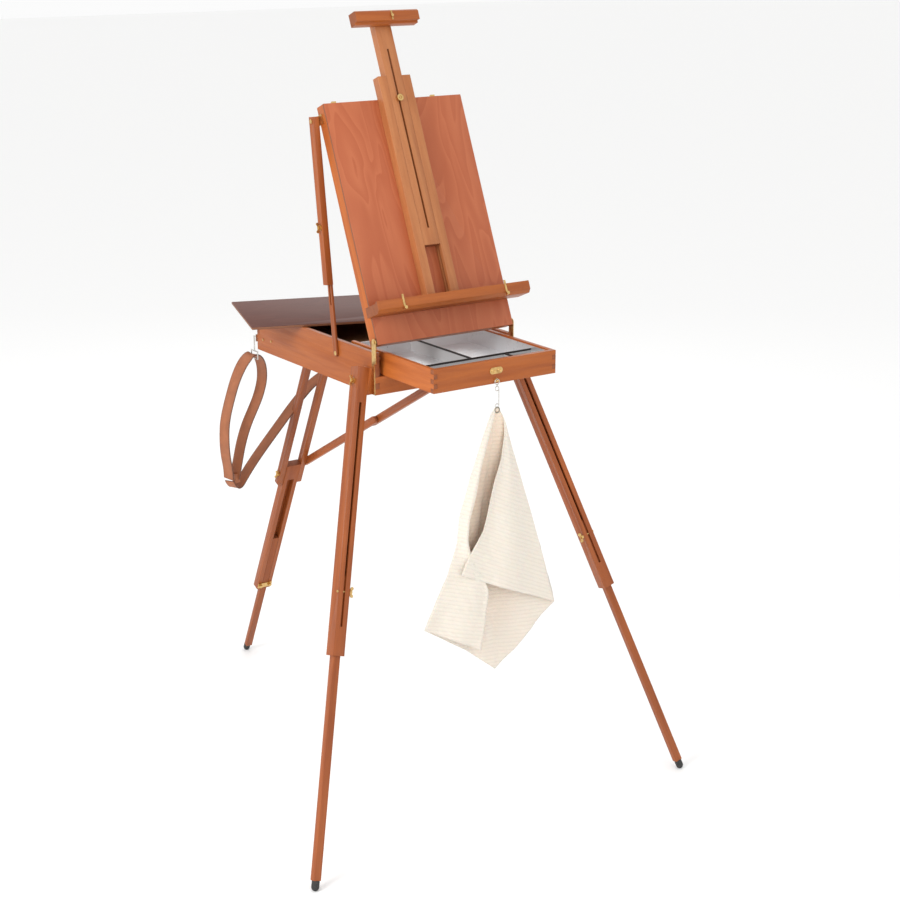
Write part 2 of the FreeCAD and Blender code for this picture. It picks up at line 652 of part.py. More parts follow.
# clamp plate across the channel's mouth, with its two thumb screws in front
clamp_z = -g.channel_end + 14
plate_y = -g.channel_deep / 2 - 2.1
screws = [rod("5", "5", (x, plate_y - 5, clamp_z), "y", REAR) for x in (-14, 14)]
clamp = fuse(slab(("channel_wide", "2", "16"), (-g.channel_wide / 2, plate_y, clamp_z - 8), REAR),
             *screws)
pin_start = -F_HALF - g.fork_wide + STUD + 0.5
pin_end = F_HALF + g.fork_wide + 0.3
pin = fuse(rod("stub_radius", str(pin_end - pin_start), (pin_start, 0, -g.joint_at), "x", REAR),
           rod("6", "2", (pin_end, 0, -g.joint_at), "x", REAR))
keep(group(clamp, pin), "rear_fittings")

# lugs under the box that carry the fork, and the brace's own lug at the front
LUG_OUT = F_HALF - 0.5
lug_high = g.recess_height - 11
lugs = []
for side in (-1, 1):
    x = LUG_OUT - g.lug_thick if side > 0 else -LUG_OUT
    lug = slab(("lug_thick", "16", str(lug_high)),
               (x, g.rear_pivot_y - 10, RECESS_TOP - lug_high))
    stub_x = LUG_OUT - g.lug_thick if side > 0 else -F_HALF - g.fork_wide
    stub = rod("stub_radius", "fork_wide + lug_thick + 0.5",
               (stub_x, g.rear_pivot_y, g.rear_pivot_z), "x")
    lugs.append(fuse(lug, stub))
BRACE_X = F_HALF + g.fork_wide + 0.5
FRONT_X = BRACE_X + g.brace_thick + 0.5
brace_lug = slab(("lug_thick", "16", str(lug_high)),
                 (FRONT_X + g.brace_thick + 0.5, g.brace_front_y - 8, RECESS_TOP - lug_high))
brace_stub = rod("stub_radius", "brace_thick + 1", (FRONT_X, g.brace_front_y, g.brace_z), "x")
lugs.append(fuse(brace_lug, brace_stub))
keep(group(*lugs), "under_lugs")

# ---------------------------------------------------------------- brace

lower = REAR.multVec(V(0, 0, -g.brace_joint_at))
brace_low_y = lower.y - g.box_front - g.brace_front_y
brace_drop = g.brace_z - lower.z
BRACE_LONG = math.hypot(brace_low_y, brace_drop)
BRACE_DIP = math.degrees(math.atan2(brace_drop, brace_low_y))
# z runs from the front pivot down to the rear leg
BRACE = BOX.multiply(place(0, g.brace_front_y, g.brace_z, turned(X, -90 - BRACE_DIP)))


def brace_bar(x, start, length, bores):
    bar = fuse(slab(("brace_thick", "brace_deep", str(length)),
                    (x, -g.brace_deep / 2, start), BRACE),
               rod("brace_deep / 2", "brace_thick", (x, 0, start), "x", BRACE),
               rod("brace_deep / 2", "brace_thick", (x, 0, start + length), "x", BRACE))
    tools = [rod(radius, "brace_thick", (x, 0, z), "x", BRACE) for radius, z in bores]
    return cut(bar, *tools)


lap_z = BRACE_LONG - g.brace_rear_length + 22
front_long = g.brace_front_length - g.brace_deep / 2
rear_start = BRACE_LONG - g.brace_rear_length + g.brace_deep / 2
keep(brace_bar(FRONT_X, 0, front_long, [("stub_radius + fit", 0), ("bolt_radius + fit", lap_z)]),
     "brace_front")
keep(brace_bar(BRACE_X, rear_start, BRACE_LONG - rear_start, [("stub_radius", BRACE_LONG)]),
     "brace_rear")
seat = BRACE.multiply(place(FRONT_X + g.brace_thick + 0.2, 0, lap_z, turned(Y, 90)))
keep(fuse(wing_nut(seat),
          rod("bolt_radius", "brace_thick + 0.2", (0, 0, -g.brace_thick - 0.2), "z", seat)),
     "brace_nut")
keep(fuse(rod("stub_radius", "brace_thick", (BRACE_X, 0, BRACE_LONG), "x", BRACE),
          rod("5.5", "2", (BRACE_X + g.brace_thick, 0, BRACE_LONG), "x", BRACE)), "brace_bolt")
print(f"brace: length {BRACE_LONG:.1f}, dip {BRACE_DIP:.2f}; rear lean {REAR_LEAN:.2f}")

# ---------------------------------------------------------------- screws on the box

for y, z in ((519, 1047), (479, 1050)):
    for x in (-HALF - 1.2, HALF):
        FASTENERS.append(rod("3", "1.2", (x, y, z), "x"))
HEAD_GAP = 0.8 + g.slat_thick - 2.2
for side in (-1, 1):
    shank_x = HALF if side > 0 else -HALF - HEAD_GAP
    head_x = HALF + HEAD_GAP if side > 0 else -HALF - HEAD_GAP - 2
    FASTENERS.append(fuse(
        rod("2.5", str(HEAD_GAP), (shank_x, g.strut_pivot_y, g.strut_pivot_z), "x"),
        rod("5", "2", (head_x, g.strut_pivot_y, g.strut_pivot_z), "x")))
keep(group(*FASTENERS), "box_fasteners")

# ---------------------------------------------------------------- palette

palette_frame = BOX.multiply(place(-304, 364, TOP + 0.1, turned(Z, g.palette_turn)))
palette = slab(("palette_long", "palette_short", "palette_thick"), (0, 0, 0), palette_frame)
thumb = rod("15", "palette_thick + 2", (390, 60, -1), "z", palette_frame)
keep(cut(palette, thumb), "palette")

# ---------------------------------------------------------------- carrying strap


def cord_solid(points, radius):
    """Round tube along straight runs joined by arcs that touch both runs."""
    edges = []
    start = points[0]
    length = 0
    for i in range(1, len(points) - 1):
        a, b, c = points[i - 1], points[i], points[i + 1]
        before, after = a - b, c - b
        turn = math.pi - before.getAngle(after)
        cut_back = 0.45 * min(before.Length, after.Length)
        print(f"  turn {math.degrees(turn):5.1f}, radius {cut_back / math.tan(turn / 2):6.1f}")
        before.normalize()
        after.normalize()
        enter, leave = b + before * cut_back, b + after * cut_back
        arc_radius = cut_back / math.tan(turn / 2)
        inward = (before + after).normalize()
        middle = b + inward * (arc_radius / math.cos(turn / 2) - arc_radius)
        edges.append(Part.LineSegment(start, enter).toShape())
        edges.append(Part.Arc(enter, middle, leave).toShape())
        start = leave
    edges.append(Part.LineSegment(start, points[-1]).toShape())
    path = Part.Wire(edges)
    tangent = (points[1] - points[0]).normalize()
    section = Part.Wire(Part.makeCircle(radius, points[0], tangent))
    solid = path.makePipeShell([section], True, False, 1)
    expected = math.pi * radius ** 2 * path.Length
    print(f"cord: length {path.Length:.0f}, volume {solid.Volume / expected:.4f} of its section")
    return solid


STRAP_LONG = [(192, 568, 1003), (150, 588, 962), (100, 618, 925), (34, 648, 890), (-20, 662, 832),
              (-76, 667, 768), (-115, 667, 727), (-153, 666, 686), (-179, 665, 654),
              (-198, 664, 628), (-216, 661, 630), (-226, 657, 650)]
STRAP_LOOP = [(-207, 655, 676), (-205, 647, 706), (-199, 638, 754), (-187, 630, 801),
              (-170, 625, 839), (-153, 621, 877), (-145, 611, 925), (-160, 590, 976),
              (-188, 574, 1003), (-208, 587, 986), (-221, 612, 936), (-239, 616, 879),
              (-255, 614, 829), (-259, 614, 785), (-250, 629, 732), (-234, 645, 684)]
for label, route in (("strap_long", STRAP_LONG), ("strap_loop", STRAP_LOOP)):
    node = doc.addObject("Part::Feature", label)
    node.Shape = cord_solid([V(*point) for point in route], g.strap_radius)
    node.Placement = BOX
    keep(node, label)

keep(slab(("15", "14", "24"), (-214, 650, 644)), "strap_buckle")

# a plate on the box's back, a stem and a drop link, and a wide loop for the strap
anchors = []
LOOP_TOP = 1008
STEM_Z = 1046
for x, low in ((-186, 989), (181, 982)):
    centre_y = g.box_depth + 24
    bars = [rod("loop_wire", "32", (x, centre_y - 16, z), "y") for z in (low, LOOP_TOP)]
    bars += [rod("loop_wire", str(LOOP_TOP - low), (x, y, low), "z")
             for y in (centre_y - 16, centre_y + 16)]
    corners = [ball("loop_wire", (x, y, z))
               for y in (centre_y - 16, centre_y + 16) for z in (low, LOOP_TOP)]
    anchors.append(fuse(
        slab(("16", "2", "18"), (x - 8, g.box_depth, STEM_Z - 9)),
        rod("loop_wire", "24", (x, g.box_depth, STEM_Z), "y"),
        ball("loop_wire", (x, centre_y, STEM_Z)),
        rod("loop_wire", str(STEM_Z - LOOP_TOP), (x, centre_y, LOOP_TOP), "z"),
        *bars, *corners))
keep(group(*anchors), "strap_anchors")

# ---------------------------------------------------------------- towel

# the top ring hangs on the hook's stem; the long link under it carries the towel's eyelet
RING_Y = -4.5
LINK_TOP = 1050 - (TOP - g.drawer_height)
LINK_LOW = 1010 - (TOP - g.drawer_height)
ring_flat = turned(X, 90)
link = [ring("link_radius", "ring_wire", (0, RING_Y, z), DRAWER, ring_flat)
        for z in (LINK_LOW, LINK_TOP)]
link += [rod("ring_wire", str(LINK_TOP - LINK_LOW), (x, RING_Y, LINK_LOW), "z", DRAWER)
         for x in (-g.link_radius, g.link_radius)]
keep(fuse(ring("6", "ring_wire", (0, RING_Y, HOOK_Z - 3.5), DRAWER, ring_flat),
          rod("1.6", "5", (0, RING_Y, LINK_TOP + g.link_radius - 0.5), "z", DRAWER), *link),
     "towel_ring")

TOWEL = [(-6, 1003), (6, 1003), (90, 761), (170, 508), (11, 368), (-71, 436), (-198, 517),
         (-107, 709), (-103, 762)]
towel_y = -g.drawer_out + RING_Y - g.towel_thick / 2
corners = [V(x, towel_y, z) for x, z in TOWEL]
towel = doc.addObject("Part::Feature", "towel_outline")
towel.Shape = Part.Face(Part.makePolygon(corners + corners[:1])).extrude(V(0, g.towel_thick, 0))
towel.Placement = BOX
keep(towel, "towel")

# ---------------------------------------------------------------- check and write

doc.recompute()
for obj in doc.Objects:
    bad = [state for state in obj.State if state in ("Invalid", "Error")]
    if bad:
        raise RuntimeError(f"{obj.Label}: {bad}")
for obj in PARTS:
    if obj.Shape.isNull() or not obj.Shape.isValid() or not obj.Shape.Solids:
        raise RuntimeError(f"{obj.Label}: no valid solid")
    obj.Shape.exportStep(f"parts/{obj.Label}.step")
print(len(PARTS), "parts")
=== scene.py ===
import json
import math
import random

import bmesh
import bpy
from mathutils import Vector, noise

# Folding sketch-box easel. Metres, in the CAD's frame: +X right, +Y away, +Z up.
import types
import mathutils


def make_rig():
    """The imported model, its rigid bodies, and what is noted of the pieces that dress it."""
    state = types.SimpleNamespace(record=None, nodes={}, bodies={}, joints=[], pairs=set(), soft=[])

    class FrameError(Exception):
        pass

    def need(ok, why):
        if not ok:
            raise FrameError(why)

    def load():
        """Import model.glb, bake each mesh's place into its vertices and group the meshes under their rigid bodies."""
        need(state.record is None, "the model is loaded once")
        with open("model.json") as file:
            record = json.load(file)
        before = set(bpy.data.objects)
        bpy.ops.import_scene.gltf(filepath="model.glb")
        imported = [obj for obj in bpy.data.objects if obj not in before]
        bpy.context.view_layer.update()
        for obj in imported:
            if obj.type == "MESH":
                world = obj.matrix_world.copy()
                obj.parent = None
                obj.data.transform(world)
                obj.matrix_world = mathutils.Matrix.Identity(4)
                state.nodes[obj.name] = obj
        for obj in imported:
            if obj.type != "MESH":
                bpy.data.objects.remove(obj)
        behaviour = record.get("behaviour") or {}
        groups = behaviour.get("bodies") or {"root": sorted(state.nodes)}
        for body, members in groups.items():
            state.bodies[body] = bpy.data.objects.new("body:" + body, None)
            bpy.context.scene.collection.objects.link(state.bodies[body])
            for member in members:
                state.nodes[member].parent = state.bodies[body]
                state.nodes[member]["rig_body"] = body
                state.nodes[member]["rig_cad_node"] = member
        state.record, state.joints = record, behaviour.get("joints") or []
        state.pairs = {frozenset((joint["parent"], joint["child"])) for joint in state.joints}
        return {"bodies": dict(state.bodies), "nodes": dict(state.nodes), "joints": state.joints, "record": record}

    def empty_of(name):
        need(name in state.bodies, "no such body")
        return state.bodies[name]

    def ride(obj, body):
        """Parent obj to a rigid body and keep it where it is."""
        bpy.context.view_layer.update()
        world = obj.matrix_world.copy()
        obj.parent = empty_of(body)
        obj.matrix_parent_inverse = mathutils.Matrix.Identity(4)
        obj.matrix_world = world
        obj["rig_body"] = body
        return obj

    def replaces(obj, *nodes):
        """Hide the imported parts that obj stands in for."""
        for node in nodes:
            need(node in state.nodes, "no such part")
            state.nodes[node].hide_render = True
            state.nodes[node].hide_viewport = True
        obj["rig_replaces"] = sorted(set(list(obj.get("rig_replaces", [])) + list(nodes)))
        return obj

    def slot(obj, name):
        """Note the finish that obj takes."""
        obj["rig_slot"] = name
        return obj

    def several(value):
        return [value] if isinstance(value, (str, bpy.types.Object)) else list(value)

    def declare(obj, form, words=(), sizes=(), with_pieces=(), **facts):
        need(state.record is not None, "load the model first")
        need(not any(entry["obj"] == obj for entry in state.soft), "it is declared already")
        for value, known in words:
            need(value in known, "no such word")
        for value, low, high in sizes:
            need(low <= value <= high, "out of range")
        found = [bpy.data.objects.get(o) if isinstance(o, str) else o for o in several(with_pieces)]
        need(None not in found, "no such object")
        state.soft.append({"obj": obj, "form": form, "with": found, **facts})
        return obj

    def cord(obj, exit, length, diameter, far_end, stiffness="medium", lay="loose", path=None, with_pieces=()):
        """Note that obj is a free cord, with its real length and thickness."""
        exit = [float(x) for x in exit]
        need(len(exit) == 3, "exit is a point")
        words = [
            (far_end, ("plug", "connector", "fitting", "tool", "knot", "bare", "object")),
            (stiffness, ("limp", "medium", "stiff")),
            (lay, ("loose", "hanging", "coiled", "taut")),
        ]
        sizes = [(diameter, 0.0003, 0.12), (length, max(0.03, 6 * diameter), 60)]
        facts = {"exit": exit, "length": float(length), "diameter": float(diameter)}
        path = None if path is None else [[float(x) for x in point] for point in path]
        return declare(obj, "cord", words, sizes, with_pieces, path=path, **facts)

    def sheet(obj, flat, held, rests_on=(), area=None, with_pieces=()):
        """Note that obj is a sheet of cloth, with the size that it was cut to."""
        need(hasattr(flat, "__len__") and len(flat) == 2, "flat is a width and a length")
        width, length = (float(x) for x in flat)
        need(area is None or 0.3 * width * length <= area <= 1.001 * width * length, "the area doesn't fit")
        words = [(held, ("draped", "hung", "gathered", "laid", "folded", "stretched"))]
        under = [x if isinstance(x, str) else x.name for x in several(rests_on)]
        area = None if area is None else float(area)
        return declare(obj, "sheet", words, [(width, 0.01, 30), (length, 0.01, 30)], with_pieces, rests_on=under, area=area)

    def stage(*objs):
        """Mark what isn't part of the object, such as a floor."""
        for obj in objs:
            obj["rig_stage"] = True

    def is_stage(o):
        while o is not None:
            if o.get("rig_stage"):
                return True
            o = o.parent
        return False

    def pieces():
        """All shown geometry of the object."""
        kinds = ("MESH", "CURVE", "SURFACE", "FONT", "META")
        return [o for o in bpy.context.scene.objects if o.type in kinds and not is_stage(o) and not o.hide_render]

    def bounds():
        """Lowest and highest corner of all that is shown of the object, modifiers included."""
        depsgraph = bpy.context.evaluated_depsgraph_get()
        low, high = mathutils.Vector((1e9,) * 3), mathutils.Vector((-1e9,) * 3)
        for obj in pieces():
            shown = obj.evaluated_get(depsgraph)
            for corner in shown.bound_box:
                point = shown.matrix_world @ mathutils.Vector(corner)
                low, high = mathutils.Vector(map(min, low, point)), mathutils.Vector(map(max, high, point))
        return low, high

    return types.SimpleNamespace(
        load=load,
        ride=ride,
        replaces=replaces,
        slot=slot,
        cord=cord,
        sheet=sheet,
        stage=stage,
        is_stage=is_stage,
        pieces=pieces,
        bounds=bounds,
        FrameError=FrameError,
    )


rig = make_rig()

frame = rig.load()
cad_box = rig.bounds()
NODES = frame["nodes"]
BODY = {n: b for b, ns in frame["record"]["behaviour"]["bodies"].items() for n in ns}
SLOT = {row["node"]: row["material_slot"] for row in frame["record"]["subparts"]}
rng = random.Random(4)

# ---------------------------------------------------------------- camera, floor and light

CAMERA_AT = (-2.3292, -3.7881, 2.0859)
CAMERA_DOWN = 16.57     # degrees below level
CAMERA_TURN = -34.5     # degrees about the vertical, from looking along +Y
LENS = 73.6
SENSOR = 36
FLOOR_SIDE = 60
WORLD_STRENGTH = 0.97
AIM = (0, 0, 1.0)
# name, place, watts and side of each square light
LIGHTS = [("key", (-4.0, -1.1, 2.9), 92, 1.6),
          ("front", (-0.4, -4.4, 2.4), 26, 2.4),
          ("rim", (2.0, 3.0, 3.0), 14, 2.0)]


def make_camera():
    data = bpy.data.cameras.new("camera")
    data.lens = LENS
    data.sensor_width = SENSOR
    data.clip_end = FLOOR_SIDE
    camera = bpy.data.objects.new("camera", data)
    camera.location = CAMERA_AT
    camera.rotation_euler = (math.radians(90 - CAMERA_DOWN), 0, math.radians(CAMERA_TURN))
    bpy.context.collection.objects.link(camera)
    bpy.context.scene.camera = camera


def area_light(name, place, power, size):
    data = bpy.data.lights.new(name, "AREA")
    data.energy = power
    data.size = size
    light = bpy.data.objects.new(name, data)
    light.location = place
    light.rotation_euler = (Vector(AIM) - Vector(place)).to_track_quat("-Z", "Y").to_euler()
    bpy.context.collection.objects.link(light)


def make_stage():
    bpy.ops.mesh.primitive_plane_add(size=FLOOR_SIDE)
    floor = bpy.context.object
    floor.name = "floor"
    material = bpy.data.materials.new("floor_paper")
    material.use_nodes = True
    shader = material.node_tree.nodes["Principled BSDF"]
    shader.inputs["Base Color"].default_value = (0.95, 0.95, 0.945, 1)
    shader.inputs["Roughness"].default_value = 0.85
    floor.data.materials.append(material)
    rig.stage(floor)
    world = bpy.data.worlds.new("studio")
    world.use_nodes = True
    world.node_tree.nodes["Background"].inputs["Color"].default_value = (1, 1, 1, 1)
    world.node_tree.nodes["Background"].inputs["Strength"].default_value = WORLD_STRENGTH
    bpy.context.scene.world = world
    for light in LIGHTS:
        area_light(*light)
    bpy.context.scene.view_settings.view_transform = "Standard"


make_camera()
make_stage()

# ---------------------------------------------------------------- node helpers


def dim(colour, share):
    return tuple(c * share for c in colour)


def grey(value):
    return (value,) * 3


class Nodes:
    """Short way to build a material's node tree."""

    def __init__(self, name):
        self.material = bpy.data.materials.new(name)
        self.material.use_nodes = True
        self.tree = self.material.node_tree
        self.shader = self.tree.nodes["Principled BSDF"]

    def add(self, kind, **values):
        node = self.tree.nodes.new(kind)
        for key, value in values.items():
            setattr(node, key, value)
        return node

    def link(self, source, target):
        self.tree.links.new(source, target)

    def attribute(self, name, output="Vector"):
        return self.add("ShaderNodeAttribute", attribute_name=name).outputs[output]

    def place(self):
        return self.add("ShaderNodeTexCoord").outputs["Object"]

    def axes(self, vector):
        """The x, y and z of a vector, as sockets by name."""
        node = self.add("ShaderNodeSeparateXYZ")
        self.link(vector, node.inputs[0])
        return node.outputs

    def scaled(self, vector, scale):
        node = self.add("ShaderNodeMapping")
        node.inputs["Scale"].default_value = scale
        self.link(vector, node.inputs["Vector"])
        return node.outputs["Vector"]

    def noise(self, vector, scale, detail=4.0, roughness=0.55, distortion=0.0):
        node = self.add("ShaderNodeTexNoise")
        for key, value in (("Scale", scale), ("Detail", detail), ("Roughness", roughness),
                           ("Distortion", distortion)):
            node.inputs[key].default_value = value
        self.link(vector, node.inputs["Vector"])
        return node.outputs["Fac"]

    def ramp(self, factor, *stops):
        node = self.add("ShaderNodeValToRGB")
        elements = node.color_ramp.elements
        while len(elements) < len(stops):
            elements.new(0.5)
        for element, (position, colour) in zip(elements, stops):
            element.position = position
            element.color = (*colour, 1)
        self.link(factor, node.inputs["Fac"])
        return node.outputs["Color"]

    def mix(self, factor, first, second, blend="MIX"):
        node = self.add("ShaderNodeMix", data_type="RGBA", blend_type=blend)
        for value, socket in ((factor, node.inputs[0]), (first, node.inputs[6]),
                              (second, node.inputs[7])):
            if isinstance(value, (int, float)):
                socket.default_value = value
            elif isinstance(value, tuple):
                socket.default_value = (*value, 1)
            else:
                self.link(value, socket)
        return node.outputs[2]

    def math(self, operation, first, second=0.0):
        node = self.add("ShaderNodeMath", operation=operation)
        for value, socket in ((first, node.inputs[0]), (second, node.inputs[1])):
            if isinstance(value, (int, float)):
                socket.default_value = value
            else:
                self.link(value, socket)
        return node.outputs[0]

    def bump(self, height, strength, distance):
        node = self.add("ShaderNodeBump")
        node.inputs["Strength"].default_value = strength
        node.inputs["Distance"].default_value = distance
        self.link(height, node.inputs["Height"])
        self.link(node.outputs["Normal"], self.shader.inputs["Normal"])

    def set(self, **values):
        for key, value in values.items():
            self.shader.inputs[key.replace("_", " ")].default_value = value


# ---------------------------------------------------------------- materials


def solid_wood(name, light, dark, figure=1.0):
    """Oiled hardwood. "grain" runs along each board on its x, "board" is 0 to 1 for each board."""
    n = Nodes(name)
    grain = n.attribute("grain")
    tone = n.attribute("board", "Fac")
    bands = n.noise(n.scaled(grain, (2.2, 26, 26)), 2.4, 3, 0.5, 0.5)
    fibres = n.noise(n.scaled(grain, (9, 420, 420)), 1.6, 5, 0.6)
    pores = n.noise(n.scaled(grain, (60, 1500, 1500)), 1.0, 2, 0.5)
    wide = n.noise(n.scaled(grain, (1.2, 7, 7)), 1.5, 2, 0.5)
    base = n.ramp(bands, (0.3, dark), (0.5, tuple((a + b) / 2 for a, b in zip(light, dark))),
                  (0.72, light))
    colour = n.mix(n.math("MULTIPLY", fibres, 0.45 * figure), base, dim(dark, 0.72))
    colour = n.mix(n.math("MULTIPLY", wide, 0.35), colour, light)
    fleck = n.ramp(pores, (0.60, grey(0)), (0.68, grey(1)))
    colour = n.mix(n.math("MULTIPLY", fleck, 0.22), colour, dim(dark, 0.45))
    shade = n.ramp(tone, (0.0, (0.84, 0.82, 0.80)), (1.0, (1.12, 1.1, 1.08)))
    colour = n.mix(1.0, colour, shade, "MULTIPLY")
    n.link(colour, n.shader.inputs["Base Color"])
    n.link(n.ramp(fibres, (0.35, grey(0.36)), (0.7, grey(0.5))), n.shader.inputs["Roughness"])
    n.set(Specular_IOR_Level=0.32, Coat_Weight=0.05, Coat_Roughness=0.3)
    n.bump(n.math("ADD", fibres, n.math("MULTIPLY", fleck, -0.6)), 0.25, 0.0006)
    return n.material


def panel_wood(name, light, dark, flame=1.0, rough=0.42):
    """Rotary-cut plywood face: broad flame figure along the grain."""
    n = Nodes(name)
    grain = n.attribute("grain")
    warp = n.noise(n.scaled(grain, (1.4, 5.5, 5.5)), 1.6, 2, 0.45, 0.9)
    rings = n.math("FRACT", n.math("MULTIPLY", warp, 9.0))
    soft = n.ramp(rings, (0.0, grey(0.15)), (0.55, grey(0.75)), (0.93, grey(1.0)),
                  (1.0, grey(0.2)))
    fibres = n.noise(n.scaled(grain, (10, 500, 500)), 1.4, 4, 0.6)
    blotch = n.noise(n.scaled(grain, (5, 9, 9)), 1.2, 3, 0.5)
    base = n.mix(n.math("MULTIPLY", soft, 0.8 * flame), light, dark)
    base = n.mix(n.math("MULTIPLY", fibres, 0.4), base, dim(dark, 0.7))
    base = n.mix(n.math("MULTIPLY", blotch, 0.45), base, light)
    n.link(base, n.shader.inputs["Base Color"])
    n.set(Roughness=rough, Specular_IOR_Level=0.3, Coat_Weight=0.05, Coat_Roughness=0.35)
    n.bump(fibres, 0.2, 0.0004)
    return n.material


PLY = 0.0013


def ply_edge(name, light, dark):
    """Sawn edge of plywood: the plies as stripes across the thin way, "grain" z."""
    n = Nodes(name)
    grain = n.attribute("grain")
    stripe = n.math("FRACT", n.math("DIVIDE", n.axes(grain)["Z"], 2 * PLY))
    layers = n.ramp(stripe, (0.0, dark), (0.46, dark), (0.54, light), (1.0, light))
    saw = n.noise(n.scaled(grain, (300, 300, 60)), 1.0, 4, 0.6)
    n.link(n.mix(n.math("MULTIPLY", saw, 0.35), layers, dim(dark, 0.55)),
           n.shader.inputs["Base Color"])
    n.set(Roughness=0.6)
    n.bump(saw, 0.25, 0.0005)
    return n.material


def end_grain(name, light, dark):
    """Cut end of a board: arcs of growth rings and open pores, darker with oil."""
    n = Nodes(name)
    grain = n.attribute("grain")
    rings = n.noise(n.scaled(grain, (1, 90, 30)), 1.4, 3, 0.5, 0.6)
    pores = n.noise(n.scaled(grain, (900, 900, 900)), 1.2, 2, 0.5)
    colour = n.ramp(rings, (0.35, dim(dark, 0.75)), (0.65, dark))
    colour = n.mix(n.math("MULTIPLY", pores, 0.5), colour, dim(light, 0.6))
    n.link(colour, n.shader.inputs["Base Color"])
    n.set(Roughness=0.62)
    n.bump(pores, 0.3, 0.0004)
    return n.material


def metal(name, colour, rough, scratch=(60, 60, 60), tarnish=None, metallic=1.0):
    """Worn metal: fine scratches in its gloss and spots of tarnish in its colour."""
    n = Nodes(name)
    co = n.place()
    fine = n.noise(n.scaled(co, scratch), 8, 4, 0.6)
    spots = n.noise(co, 90, 3, 0.5)
    tint = tarnish or dim(colour, 0.7)
    n.link(n.mix(n.ramp(spots, (0.45, grey(0)), (0.75, grey(0.7))), colour, tint),
           n.shader.inputs["Base Color"])
    n.link(n.ramp(fine, (0.3, grey(rough * 0.75)), (0.75, grey(min(1, rough * 1.5)))),
           n.shader.inputs["Roughness"])
    n.set(Metallic=metallic)
    n.bump(fine, 0.08, 0.0002)
    return n.material


# depth of the painted shade band along the dividers' top edges
SHADE_BAND_DEPTH = 0.0045


def edged_sheet(name, colour, edge):
    """Light sheet metal for the dividers, its upper edge painted dark: painted shade along each divider's top."""
    n = Nodes(name)
    top = max(v.co.z for v in NODES["drawer_dividers"].data.vertices)
    # painted shade: a dark band along the top of each divider
    painted = n.math("GREATER_THAN", n.axes(n.place())["Z"], top - SHADE_BAND_DEPTH)
    n.link(n.mix(painted, colour, edge), n.shader.inputs["Base Color"])
    n.set(Roughness=0.4, Metallic=0.3)
    return n.material


def leather(name, colour, edge):
    """Harness leather: pebbled grain, pale wear and burnished edges ("rim" 0 to 1)."""
    n = Nodes(name)
    co = n.place()
    cells = n.add("ShaderNodeTexVoronoi")
    cells.inputs["Scale"].default_value = 900
    n.link(co, cells.inputs["Vector"])
    wear = n.noise(co, 35, 4, 0.6)
    fine = n.noise(co, 700, 3, 0.5)
    base = n.mix(n.ramp(wear, (0.35, grey(0)), (0.7, grey(0.55))), colour,
                 tuple(min(1, c * 1.45) for c in colour))
    rim = n.attribute("rim", "Fac")
    n.link(n.mix(n.math("MULTIPLY", rim, 0.85), base, edge), n.shader.inputs["Base Color"])
    n.link(n.ramp(fine, (0.3, grey(0.42)), (0.7, grey(0.6))), n.shader.inputs["Roughness"])
    height = n.math("ADD", cells.outputs["Distance"], n.math("MULTIPLY", fine, 0.4))
    n.bump(height, 0.25, 0.0004)
    return n.material


RIB_PITCH = 0.0095
THREAD_PITCH = 0.0011


def cotton(name, colour, shade, inner):
    """Ribbed tea-towel cotton. "cloth" holds the sheet's own coordinates in metres."""
    n = Nodes(name)
    flat = n.attribute("cloth")
    way = n.axes(flat)

    def wave(coordinate, pitch):
        return n.math("SINE", n.math("MULTIPLY", coordinate, 2 * math.pi / pitch))

    rib = wave(way["Y"], RIB_PITCH)
    weave = n.math("MULTIPLY", wave(way["X"], THREAD_PITCH), wave(way["Y"], THREAD_PITCH))
    slub = n.noise(n.scaled(flat, (300, 60, 60)), 1.5, 4, 0.6)
    # painted shade: the rib grooves are darkened in step with the rib bump
    tint = n.ramp(n.math("MULTIPLY_ADD", rib, 0.5), (0.0, grey(0.82)), (0.5, grey(1)))
    base = n.mix(n.math("MULTIPLY", slub, 0.5), colour, shade)
    # light that has gone round between two warm layers
    base = n.mix(n.attribute("inner", "Fac"), base, inner)
    n.link(n.mix(0.35, base, n.mix(1.0, base, tint, "MULTIPLY")), n.shader.inputs["Base Color"])
    n.set(Roughness=0.92, Sheen_Weight=0.3, Sheen_Roughness=0.5, Subsurface_Weight=0.08,
          Subsurface_Scale=0.004)
    height = n.math("ADD", n.math("MULTIPLY", rib, 0.6), n.math("MULTIPLY", weave, 0.3))
    n.bump(height, 0.45, 0.0010)
    return n.material


def rubber(name):
    """Black rubber with a little dust."""
    n = Nodes(name)
    dust = n.noise(n.place(), 160, 4, 0.6)
    n.link(n.ramp(dust, (0.4, grey(0.016)), (0.75, (0.05, 0.047, 0.043))),
           n.shader.inputs["Base Color"])
    n.link(n.ramp(dust, (0.3, grey(0.55)), (0.8, grey(0.8))), n.shader.inputs["Roughness"])
    n.bump(dust, 0.2, 0.0004)
    return n.material


